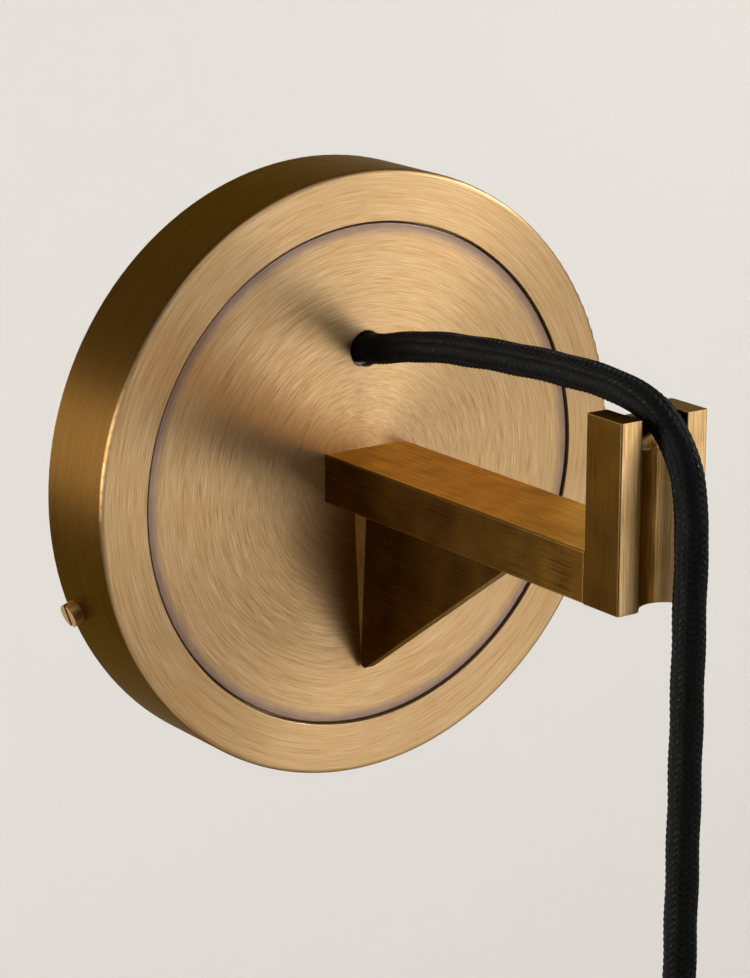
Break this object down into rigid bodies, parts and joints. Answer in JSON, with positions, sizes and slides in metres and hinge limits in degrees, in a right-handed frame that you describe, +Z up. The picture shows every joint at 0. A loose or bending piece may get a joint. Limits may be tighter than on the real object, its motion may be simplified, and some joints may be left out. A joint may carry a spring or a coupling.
{
  "type": "wall reading lamp",
  "caption": "Wall reading lamp: round brushed brass canopy, flat-bar arm with a gusset, and an upright cradle over which a braided cord hangs with a cylindrical lamp head.",
  "frame": {"origin": "middle of the round canopy, on the wall plane, midway between the two wall screws", "axes": "+Z up, +Y into the wall, so the lamp stands out toward -Y; +X to the right, seen from the room"},
  "size_m": [0.125, 0.148, 0.2525],
  "materials": {
    "brushed_brass": "antique brass, brushed and lacquered",
    "brass_plate": "antique brass, spun and brushed in rings, dark edge patina",
    "brass_bar": "antique brass bar, brushed lengthwise",
    "brass_hardware": "antique brass, turned",
    "zinc_steel": "zinc plated",
    "tinned_brass": "tinned",
    "black_braid": "woven textile braid",
    "nylon_white": "moulded nylon",
    "blue_core": "insulated core",
    "brown_core": "insulated core",
    "earth_core": "green and yellow insulated core",
    "silicone_core": "heat resistant core",
    "porcelain": "unglazed",
    "lamp_plastic": "satin",
    "lamp_glass": "frosted"
  },
  "bodies": {
    "wall": {"canopy_shell": "brushed_brass", "face_plate": "brass_plate", "face_plate_studs": "brass_hardware", "face_plate_washers": "zinc_steel", "face_plate_nuts": "zinc_steel", "wall_bracket": "zinc_steel", "canopy_side_screws": "brass_hardware", "earth_screw": "brass_hardware", "earth_lug": "tinned_brass", "terminal_block": "nylon_white", "terminal_clamp_screws": "zinc_steel", "terminal_block_screw": "zinc_steel", "arm": "brass_bar", "arm_screws": "zinc_steel", "arm_washers": "zinc_steel", "cradle_stud": "zinc_steel", "gusset": "brass_bar", "cradle": "brass_bar", "cord_over_cradle": "black_braid", "cord_stop": "nylon_white", "cord_stop_screw": "zinc_steel", "neutral_core": "blue_core", "live_core": "brown_core", "earth_core": "earth_core"},
    "pendant_link": {"cord_bend": "black_braid"},
    "pendant": {"cord_drop": "black_braid", "head_cord_grip": "brass_hardware", "head_grip_screw": "brass_hardware", "head_grip_nut": "brass_hardware", "head_cap": "brushed_brass", "shade": "brushed_brass", "shade_screws": "brass_hardware", "lampholder": "porcelain", "lampholder_screws": "zinc_steel", "head_cores": "silicone_core", "lamp_pins": "zinc_steel", "lamp_body": "lamp_plastic", "lamp_lens": "lamp_glass", "shade_ring": "brass_hardware"}
  },
  "joints": [
    {"name": "pendant_swing", "type": "hinge", "parent": "wall", "child": "pendant_link", "pos_m": [0, -0.12, 0.01], "axis": [-1, 0, 0], "range_deg": [-12, 30]},
    {"name": "pendant_sway", "type": "hinge", "parent": "pendant_link", "child": "pendant", "pos_m": [0, -0.12, 0.004], "axis": [0, 1, 0], "range_deg": [-25, 25]}
  ]
}
